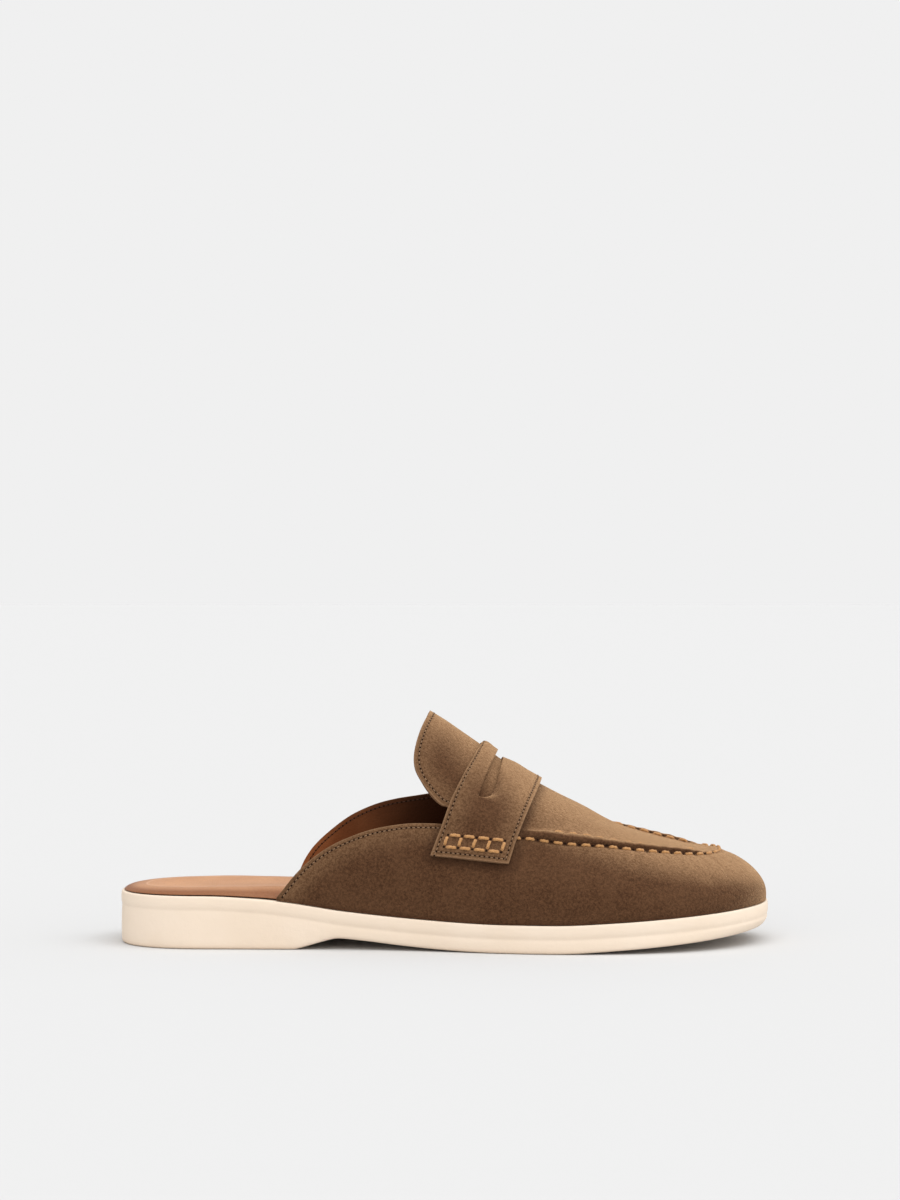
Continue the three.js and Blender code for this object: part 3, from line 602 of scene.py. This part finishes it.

# Creases: soft folds pressed in, each from one place to another, with a depth and a width.
CREASES = [((0.092, -0.050, 0.020), (0.078, -0.047, 0.034), 0.00050, 0.0040),
           ((0.070, -0.052, 0.016), (0.058, -0.049, 0.030), 0.00035, 0.0045),
           ((-0.030, -0.045, 0.030), (0.006, -0.046, 0.026), 0.00040, 0.0050),
           ((0.118, -0.028, 0.022), (0.110, -0.030, 0.034), 0.00035, 0.0035),
           ((0.060, -0.020, 0.060), (0.085, 0.010, 0.050), 0.00045, 0.0060),
           ((0.070, 0.050, 0.026), (0.086, 0.046, 0.036), 0.00040, 0.0045),
           ((-0.020, 0.045, 0.032), (0.010, 0.047, 0.026), 0.00040, 0.0050)]


def crease(places, start, end, depth, width):
    """How far each point sinks into one soft fold. Its flanks rise a little."""
    start, run = np.array(start), np.array(end) - np.array(start)
    share = np.clip(((places - start) @ run) / (run @ run), 0, 1)
    gap = np.linalg.norm(places - start - share[:, None] * run, axis=1) / width
    ends = np.clip(np.minimum(share, 1 - share) * 3, 0, 1)
    return depth * ends * (1 - 0.9 * gap ** 2) * np.exp(-gap ** 2)


for fold in CREASES:
    points -= normals * crease(points, *fold)[:, None]
move_points(upper, points)
smoothed(upper)
upper_skin = surface(upper)

# Edges: the topline of each side, which is cut and stitched, and the foot that meets the sole.
TOPLINE_INSET, TOPLINE_WORN = 0.0019, 0.0006
TOPLINE_FRONT, TOPLINE_SIDE, TOPLINE_FOOT = 0.027, 0.02, 0.0235
FOOT_LEVEL, FOOT_REAR = 0.032, -0.08

toplines = [open_edge(upper, lambda p, side=side: p.x < TOPLINE_FRONT
                      and p.y * side > TOPLINE_SIDE and p.z > TOPLINE_FOOT)
            for side in (-1, 1)]
store(upper, "edge_gap", np.minimum(*[distance_to(upper, line)[0] for line in toplines]))
foot = open_edge(upper, lambda p: p.z < FOOT_LEVEL and p.x > FOOT_REAR)
store(upper, "foot_gap", distance_to(upper, foot)[0])


def suede(name, stitched, worn):
    """Brushed suede: short nap in two tones that catches light at a low angle. Faces turned up
    to the overhead light and the wall near the topline are painted lighter, and the stitch
    channel gets painted shade. stitched is the machine row's distance from the edge, and worn
    how far the edge is rubbed pale."""
    made = Finish(name, {"Roughness": 0.95, "Specular IOR Level": 0.10, "Sheen Weight": 1.0,
                         "Sheen Roughness": 0.34, "Sheen Tint": (0.95, 0.60, 0.33)})
    nap = made.noise(0.00045, 3, 0.7)
    tufts = made.noise(0.0011, 2, 0.6)
    strokes = made.noise(0.015, 3, 0.55)
    # Painted light: faces turned towards the overhead light take the lighter, lit tone.
    light_facing = made.facing((0.30, 0, 0.954)).ease(0.55, 1.0)
    grain = (0.55 * nap + 0.45 * tufts).ease(0.37, 0.63)
    shade = made.mix(grain, (0.044, 0.0180, 0.0075), (0.112, 0.052, 0.0245))
    shade = made.mix(0.22 * strokes.ease(0.35, 0.65), shade, (0.130, 0.064, 0.031))
    painted_lit_tone = made.mix(grain, (0.200, 0.104, 0.048), (0.390, 0.230, 0.120))
    colour = made.mix(0.85 * light_facing, shade, painted_lit_tone)
    edge = made.stored("edge_gap")
    # Painted light: the wall within about 13 mm of the topline is mixed towards the lit tone.
    colour = made.mix(0.30 - 0.30 * edge.ease(0.001, 0.013), colour, painted_lit_tone)
    # Painted shade: a darker line along the stitch channel, which is also pressed in as a bump.
    channel = 1 - (edge - stitched).size().ease(0.0002, 0.0008)
    colour = made.mix(0.35 * channel, colour, (0.045, 0.020, 0.010))
    rubbed = 1 - edge.ease(worn * 0.3, worn)
    colour = made.mix(0.45 * rubbed, colour, (0.28, 0.165, 0.09))
    fine = made.relief(nap + 1.1 * tufts, 0.00030)
    return made, colour, made.relief(1 - channel, 0.00022, under=fine)


upper_suede, colour, normal = suede("brushed suede, upper", TOPLINE_INSET, TOPLINE_WORN)
shadow = 1 - upper_suede.stored("seam_away").ease(0.0002, 0.0012)
colour = upper_suede.mix(0.6 * shadow, colour, (0.034, 0.014, 0.007))
# Painted shadow of the strap on the suede under and just beside it.
colour = upper_suede.mix(0.42 * upper_suede.stored("strap_shade"), colour, (0.034, 0.014, 0.007))
# Painted shade: the suede darkens towards the foot, where it meets the sole.
foot_shade = 1 - upper_suede.stored("foot_gap").ease(0.0003, 0.0030)
colour = upper_suede.mix(0.35 * foot_shade, colour, (0.040, 0.017, 0.008))
upper_suede.coat(colour=colour, normal=normal)

lining = Finish("red-brown lining leather", {"Specular IOR Level": 0.1})
fold = lining.noise(0.012, 3)
# Painted shade: the lining darkens towards the front, deeper inside the shoe.
lining.coat(
    colour=lining.mix(
        lining.ordinate("X").ease(-0.078, -0.004),
        lining.mix(fold.ease(0.3, 0.7), (0.20, 0.062, 0.019), (0.28, 0.096, 0.033)),
        (0.031, 0.0078, 0.0012)),
    roughness=0.5 + 0.2 * fold,
    normal=lining.relief(lining.cells(0.0008).ease(0, 0.7), 0.00008))

cut = Finish("raw cut edge", {"Roughness": 0.95, "Specular IOR Level": 0.1})
fibre = cut.noise(0.0005, 3, 0.7)
cut.coat(colour=cut.mix(fibre.ease(0.3, 0.7), (0.13, 0.068, 0.034), (0.27, 0.155, 0.083)),
         normal=cut.relief(fibre, 0.0002))


def give_thickness(piece, thickness, *materials):
    """Makes a skin a wall. The last material is for its cut edge, the one before for its
    inner face."""
    for material in materials:
        piece.data.materials.append(material)
    finish_with(piece, "SOLIDIFY", thickness=thickness, offset=-1, use_even_offset=False,
                material_offset=len(materials) - 2, material_offset_rim=len(materials) - 1)
    finish_with(piece, "BEVEL", width=CUT_ROUND, segments=2, limit_method="ANGLE",
                angle_limit=CUT_SHARPNESS)


give_thickness(upper, UPPER_THICKNESS, upper_suede.material, lining.material, cut.material)
settle(upper, "suede", stands_for=["upper"])


# Tongue: the rear end of the crown, which stands up free behind the strap. Suede outside and
# lining leather inside, with a fine stitch row round its cut edge.
TONGUE_THICKNESS = 0.0019
TONGUE_SPOT = (0.010, 0.004, 0.100)
TONGUE_FRONT = 0.0278
TONGUE_INSET, TONGUE_WORN = 0.0022, 0.0010

tongue = merged_copy("tongue", "tongue_flap")
keep_skin(tongue, TONGUE_SPOT)
rounded(tongue)
tongue_skin = surface(tongue)
tongue_edge = open_edge(tongue, lambda p: p.x < TONGUE_FRONT)
store(tongue, "edge_gap", distance_to(tongue, tongue_edge)[0])
tongue_suede, colour, normal = suede("brushed suede, tongue", TONGUE_INSET, TONGUE_WORN)
tongue_suede.coat(colour=colour, normal=normal)
give_thickness(tongue, TONGUE_THICKNESS, tongue_suede.material, lining.material, cut.material)
settle(tongue, "suede", stands_for=["tongue"])


# Saddle strap: a band of the same suede, laid over the instep and sewn down at both ends,
# with the narrow slot of a penny loafer across its crest.
STRAP_THICKNESS = 0.0022
STRAP_SHADE_FROM, STRAP_SHADE_REACH = 0.0036, 0.0016
STRAP_INSET, STRAP_WORN = 0.0018, 0.0010
STRAP_TRIM = 0.012
STRAP_CUTS = 161
STRAP_RIM_SHARE = 0.004
STRAP_MIDDLE, STRAP_LEAN, STRAP_HALF = 0.014, 0.014, 0.004
SIGHT = 0.15
SEARCH_REACH, SEARCH_TURNS = 0.03, 22
STRAP_AXIS = Vector((0, 0.0041, 0.035))
STRAP_UPS = [0, 0.03, 0.10, 0.18, 0.26, 0.34, 0.41, 0.47, 0.52, 0.56, 0.62, 0.70, 0.78, 0.86,
             0.92, 0.97]
STRAP_ACROSS = [0, 0.09, 0.19, 0.5, 0.5, 0.58, 0.72, 0.86, 1]
SLOT_UP = [0.52, 0.55, 0.70, 0.86, 1.00]
SLOT_REAR = [0.335, 0.325, 0.305, 0.290, 0.280]
SLOT_FRONT = [0.420, 0.468, 0.458, 0.422, 0.362]
SLOT_COLUMNS = (3, 4)

cad_strap = surface(frame["nodes"]["saddle_strap"])
strap_points = points_of(frame["nodes"]["saddle_strap"])


def strap_hit(angle, x):
    """Point of the strap's outer face in a direction round the instep's axis."""
    way = Vector((0, math.cos(angle), math.sin(angle)))
    start = Vector((x, STRAP_AXIS.y, STRAP_AXIS.z)) + way * SIGHT
    return cad_strap.ray_cast(start, -way, SIGHT)[0]


def turn_of(point):
    """A point's direction round the instep's axis, from below the inner side upwards."""
    turn = math.atan2(point[2] - STRAP_AXIS.z, point[1] - STRAP_AXIS.y)
    return turn if turn > -math.pi / 2 else turn + 2 * math.pi


def strap_edge(angle, guess, way):
    """Where the strap begins or ends along the shoe in that direction."""
    off, on = guess + way * SEARCH_REACH, guess
    for _ in range(SEARCH_TURNS):
        middle = (off + on) / 2
        if strap_hit(angle, middle):
            on = middle
        else:
            off = middle
    return on


corners = {}
for side in (-1, 1):
    half = strap_points[(strap_points[:, 1] - STRAP_AXIS.y) * side > 0]
    corners[side] = (half[(half[:, 0] + half[:, 2]).argmin()],
                     half[(half[:, 0] - half[:, 2]).argmax()])
rows = []
for share in np.linspace(STRAP_TRIM, 1 - STRAP_TRIM, STRAP_CUTS):
    edges = []
    for k, way in ((0, -1), (1, 1)):
        low, high = turn_of(corners[-1][k]), turn_of(corners[1][k])
        angle = low + (high - low) * share
        middle = STRAP_MIDDLE + STRAP_LEAN * math.sin(math.pi * share) + way * STRAP_HALF
        edges.append((angle, strap_edge(angle, middle, way)))
    rows.append(edges)
heights = np.array([(strap_hit(*a) or Vector()).z for a, _ in rows])
crest = int(heights.argmax())
lifts = [(heights[:crest + 1] - heights[0]) / (heights[crest] - heights[0]),
         (heights[crest:][::-1] - heights[-1]) / (heights[crest] - heights[-1])]
order = [(0, up) for up in STRAP_UPS] + [(0, 1.0)] + [(1, up) for up in STRAP_UPS[::-1]]
grid, row_ups = [], []
for half, up in order:
    place = np.interp(up, lifts[half], np.arange(len(lifts[half])))
    place = place if half == 0 else len(rows) - 1 - place
    low = int(min(place, len(rows) - 2))
    near, far = np.array(rows[low]), np.array(rows[low + 1])
    rear, front = near + (far - near) * (place - low)
    spread = list(STRAP_ACROSS)
    for k, shares in zip(SLOT_COLUMNS, (SLOT_REAR, SLOT_FRONT)):
        spread[k] = np.interp(up, SLOT_UP, shares)
    line = []
    for share in spread:
        share = min(max(share, STRAP_RIM_SHARE), 1 - STRAP_RIM_SHARE)
        angle, x = rear + (front - rear) * share
        hit = strap_hit(angle, x)
        line.append(np.array(hit) if hit else None)
    for k in [k for k, point in enumerate(line) if point is None]:
        before = max(j for j in range(k) if line[j] is not None)
        after = min(j for j in range(k + 1, len(line)) if line[j] is not None)
        part = (spread[k] - spread[before]) / (spread[after] - spread[before])
        line[k] = line[before] + (line[after] - line[before]) * part
    grid.append(line)
    row_ups.append(up)
grid = np.array(grid)

bpy.ops.object.select_all(action="DESELECT")
bpy.ops.mesh.primitive_grid_add(x_subdivisions=len(STRAP_ACROSS) - 1,
                                y_subdivisions=len(grid) - 1, size=1)
strap = bpy.context.object
strap.name = "saddle_strap_band"
flat = points_of(strap)
column = np.rint((flat[:, 0] + 0.5) * (len(STRAP_ACROSS) - 1)).astype(int)
row = np.rint((flat[:, 1] + 0.5) * (len(grid) - 1)).astype(int)
move_points(strap, grid[row, column])
slot_rows = [i for i, up in enumerate(row_ups) if up >= SLOT_UP[0]]
pick(strap, lambda face: set(column[list(face.vertices)]) == set(SLOT_COLUMNS)
     and set(row[list(face.vertices)]) <= set(slot_rows))
bpy.ops.mesh.delete(type="FACE")
bpy.ops.mesh.select_all(action="SELECT")
bpy.ops.mesh.normals_make_consistent(inside=False)
bpy.ops.object.mode_set(mode="OBJECT")
if strap.data.polygons[0].normal.dot(strap.data.polygons[0].center - STRAP_AXIS) < 0:
    strap.data.flip_normals()
rounded(strap)
strap_skin = surface(strap)
# Painted shadow of the strap: suede close under or beside the strap is marked for darkening.
above = np.array([strap_skin.find_nearest(v.co)[3] for v in upper.data.vertices])
store(upper, "strap_shade", 1 - np.clip((above - STRAP_SHADE_FROM) / STRAP_SHADE_REACH, 0, 1))
strap_rim = np.concatenate([grid[:, 0], grid[-1, 1:], grid[::-1, -1][1:], grid[0, ::-1][1:]])
store(strap, "edge_gap", distance_to(strap, strap_rim)[0])
strap_suede, colour, normal = suede("brushed suede, strap", STRAP_INSET, STRAP_WORN)
strap_suede.coat(colour=colour, normal=normal)
give_thickness(strap, STRAP_THICKNESS, strap_suede.material, cut.material)
settle(strap, "suede", stands_for=["saddle_strap"])


# Hand stitches: thick waxed ochre thread of three strands. It runs in and out along the raised
# seam, and on each end of the strap it makes a ladder of four cells.
THREAD_RADIUS = 0.00073
THREAD_LENGTH = 0.0047
THREAD_SIDES, THREAD_RINGS = 12, 14
STRAND_TURNS, STRAND_DEPTH = 1.6, 0.13
LADDER_CELLS = 4
LADDER_TOP, LADDER_LOW = 0.0098, 0.0043
LADDER_REAR, LADDER_FRONT = 0.0046, 0.0048
LADDER_SIGHT = 6
LADDER_GAP, RUNG_GAP = 0.09, 0.10
STITCH_PARTS = 40
# Sizes of the dark spots of painted shade at the awl holes.
SEAM_HOLE, CROWN_HOLE, LADDER_HOLE = 0.00078, 0.0007, 0.0007
HOLE_FLATNESS = 0.3


def stand(mesh, start, end, out, lift=0.0):
    """Moves a mesh made along X from -0.5 to 0.5 so that it runs from start to end."""
    start, end, out = Vector(start), Vector(end), Vector(out)
    run = end - start
    across = out.cross(run).normalized()
    up = run.normalized().cross(across)
    middle = (start + end) / 2 + up * lift
    turn = Matrix((run.normalized(), across, up)).transposed().to_4x4()
    mesh.transform(Matrix.Translation(middle) @ turn @ Matrix.Diagonal((run.length, 1, 1, 1)))


def gather(name, meshes):
    """One object from many meshes."""
    bpy.ops.object.select_all(action="DESELECT")
    for mesh in meshes:
        copy = bpy.data.objects.new(name, mesh)
        bpy.context.scene.collection.objects.link(copy)
        copy.select_set(True)
        bpy.context.view_layer.objects.active = copy
    bpy.ops.object.join()
    joined = bpy.context.object
    joined.name = name
    bpy.ops.object.shade_smooth()
    return joined


bpy.ops.object.select_all(action="DESELECT")
bpy.ops.mesh.primitive_cylinder_add(vertices=THREAD_SIDES, radius=THREAD_RADIUS, depth=1,
                                    rotation=(0, math.pi / 2, 0))
thread = bpy.context.object
bpy.ops.object.transform_apply(location=True, rotation=True, scale=True)
bpy.ops.object.mode_set(mode="EDIT")
bpy.ops.mesh.select_all(action="DESELECT")
bpy.ops.object.mode_set(mode="OBJECT")
for edge in thread.data.edges:
    ends = [thread.data.vertices[i].co.x for i in edge.vertices]
    edge.select = abs(ends[0] - ends[1]) > 0.5
bpy.ops.object.mode_set(mode="EDIT")
bpy.ops.mesh.subdivide(number_cuts=THREAD_RINGS)
bpy.ops.object.mode_set(mode="OBJECT")
shape = points_of(thread)
t = shape[:, 0] * 2
turn = np.arctan2(shape[:, 2], shape[:, 1])
strands = 1 + STRAND_DEPTH * (np.cos(3 * (turn + t * math.pi * STRAND_TURNS / 2)) - 0.4)
taper = np.sqrt(np.clip(1 - np.abs(t) ** 7 * 0.75, 0, 1))
radius = THREAD_RADIUS * strands * taper
arch = THREAD_RADIUS * (0.55 - 1.75 * np.abs(t) ** 4)
shape[:, 1], shape[:, 2] = radius * np.cos(turn), radius * np.sin(turn) * 0.9 + arch
move_points(thread, shape)
thread_mesh = thread.data.copy()
bpy.data.objects.remove(thread)


def stitch_at(skin, start, end):
    mesh = thread_mesh.copy()
    out = skin.find_nearest((Vector(start) + Vector(end)) / 2)[1]
    stand(mesh, start, end, out)
    return mesh


bpy.ops.object.select_all(action="DESELECT")
bpy.ops.mesh.primitive_uv_sphere_add(segments=10, ring_count=6, radius=1)
hole = bpy.context.object
hole_shade_mesh = hole.data.copy()
bpy.data.objects.remove(hole)


def hole_shade_at(skin, point, radius, sink=0.6):
    """A flat dark spot of painted shade in a skin, standing for the mouth of an awl hole."""
    spot, normal = skin.find_nearest(Vector(point))[:2]
    mesh = hole_shade_mesh.copy()
    turn = normal.to_track_quat("Z", "Y").to_matrix().to_4x4()
    deep = radius * HOLE_FLATNESS
    size = Matrix.Diagonal((radius, radius, deep, 1))
    mesh.transform(Matrix.Translation(spot - normal * deep * sink) @ turn @ size)
    return mesh


threads, holes = [], []
for line, mouth in ((seam, SEAM_HOLE), (crown_rows[0], CROWN_HOLE),
                    (crown_rows[1], CROWN_HOLE)):
    length = np.linalg.norm(np.diff(line, axis=0), axis=1).sum()
    stitches = round(length / stitch_pitch)
    dense = onto(upper_skin, evenly(line, length / stitches / STITCH_PARTS))
    reach = round(THREAD_LENGTH / SEAM_PITCH * STITCH_PARTS / 2)
    for i in range(stitches):
        start = min(STITCH_PARTS * i, len(dense) - 1)
        middle = min(STITCH_PARTS * i + STITCH_PARTS // 2, len(dense) - 1 - reach)
        threads.append(stitch_at(upper_skin, dense[middle - reach], dense[middle + reach]))
        holes.append(hole_shade_at(upper_skin, dense[start], mouth))

for side, ends in ((-1, grid[0]), (1, grid[-1])):
    rear, front = Vector(ends[0]), Vector(ends[-1])
    higher = grid[LADDER_SIGHT] if side < 0 else grid[-1 - LADDER_SIGHT]
    rise = Vector(higher.mean(0) - ends.mean(0)).normalized()
    run = (front - rear).normalized()
    width = (front - rear).length
    stops = np.linspace(LADDER_REAR, width - LADDER_FRONT, LADDER_CELLS + 1)
    level = {}
    for name, up in (("low", LADDER_LOW), ("top", LADDER_TOP)):
        level[name] = [strap_skin.find_nearest(rear + run * stop + rise * up)[0]
                       for stop in stops]
    for name in level:
        for start, end in zip(level[name], level[name][1:]):
            gap = (end - start) * LADDER_GAP
            threads.append(stitch_at(strap_skin, start + gap, end - gap))
    for low, top in zip(level["low"], level["top"]):
        gap = (top - low) * RUNG_GAP
        threads.append(stitch_at(strap_skin, low + gap, top - gap))
    holes += [hole_shade_at(strap_skin, p, LADDER_HOLE) for line in level.values() for p in line]

ochre = Finish("waxed ochre thread", {"Specular IOR Level": 0.45, "Sheen Weight": 0.15})
twist = ochre.noise(0.0004, 3, 0.6)
ochre.coat(colour=ochre.mix(twist.ease(0.3, 0.7), (0.33, 0.150, 0.042), (0.52, 0.265, 0.090)),
           roughness=0.5 + 0.25 * twist, normal=ochre.relief(twist, 0.00008))
hand_stitches = gather("hand_stitches", threads)
settle(hand_stitches, "suede", ochre.material)

# Painted shade: near-black spots stand for the shade inside the awl and needle holes.
dark = Finish("awl hole", {"Roughness": 1.0, "Specular IOR Level": 0.05})
dark.coat(colour=dark.mix(dark.noise(0.0005), (0.010, 0.005, 0.003), (0.022, 0.011, 0.006)))
awl_hole_shades = gather("awl_hole_shades", holes)
settle(awl_hole_shades, "suede", dark.material)


# Machine stitches: fine rows of brown thread beside the topline, the tongue's edge and the
# strap's edge, each stitch lying between two needle holes.
FINE_PITCH = 0.0021
FINE_RADIUS = 0.00022
FINE_SHARE = 0.60
NEEDLE_HOLE = 0.00044

bpy.ops.object.select_all(action="DESELECT")
bpy.ops.mesh.primitive_uv_sphere_add(segments=8, ring_count=6, radius=0.5,
                                     rotation=(0, math.pi / 2, 0))
fine = bpy.context.object
bpy.ops.object.transform_apply(location=True, rotation=True, scale=True)
shape = points_of(fine)
shape[:, 1:] *= FINE_RADIUS * 2
shape[:, 2] *= 0.8
move_points(fine, shape)
fine_mesh = fine.data.copy()
bpy.data.objects.remove(fine)


def stitch_row(name, skin, line, material):
    """A row of fine stitches along a line on a skin, with dark spots of painted shade at their
    needle holes.
    """
    line = onto(skin, evenly(line, FINE_PITCH))
    meshes, mouth_shades = [], []
    for start, end in zip(line, line[1:]):
        mesh = fine_mesh.copy()
        out = skin.find_nearest(Vector((start + end) / 2))[1]
        gap = (end - start) * (1 - FINE_SHARE) / 2
        stand(mesh, start + gap, end - gap, out, lift=FINE_RADIUS * 0.35)
        meshes.append(mesh)
        mouth_shades.append(hole_shade_at(skin, start, NEEDLE_HOLE, sink=0.3))
    row = gather(name, meshes)
    settle(row, "suede", material)
    mouth = gather(name + "_holes", mouth_shades)
    settle(mouth, "suede", dark.material)


brown = Finish("fine brown thread", {"Roughness": 0.6, "Specular IOR Level": 0.4})
ply = brown.noise(0.0004, 2)
brown.coat(colour=brown.mix(ply.ease(0.3, 0.7), (0.15, 0.080, 0.038), (0.30, 0.175, 0.09)),
           normal=brown.relief(ply, 0.00004))

for side, line in zip(("outer", "inner"), toplines):
    stitch_row(f"topline_stitches_{side}", upper_skin,
               inside_of(upper_skin, evenly(line, LINE_STEP), TOPLINE_INSET), brown.material)
wall = surface(upper)
chestnut = Finish("dark chestnut thread", {"Roughness": 0.7, "Specular IOR Level": 0.3})
chestnut.coat(colour=chestnut.mix(chestnut.noise(0.0004), (0.03, 0.010, 0.004),
                                  (0.07, 0.026, 0.011)))
for side, line in zip(("outer", "inner"), toplines):
    row = inside_of(upper_skin, evenly(line, LINE_STEP), TOPLINE_INSET)
    through = [Vector(p) - upper_skin.find_nearest(Vector(p))[1] * UPPER_THICKNESS for p in row]
    stitch_row(f"lining_stitches_{side}", wall, onto(wall, through), chestnut.material)
stitch_row("tongue_stitches", tongue_skin,
           inside_of(tongue_skin, evenly(tongue_edge, LINE_STEP), TONGUE_INSET), brown.material)
inset_rim = inside_of(strap_skin, evenly(strap_rim, LINE_STEP), STRAP_INSET)
stitch_row("strap_stitches", strap_skin, inset_rim, brown.material)
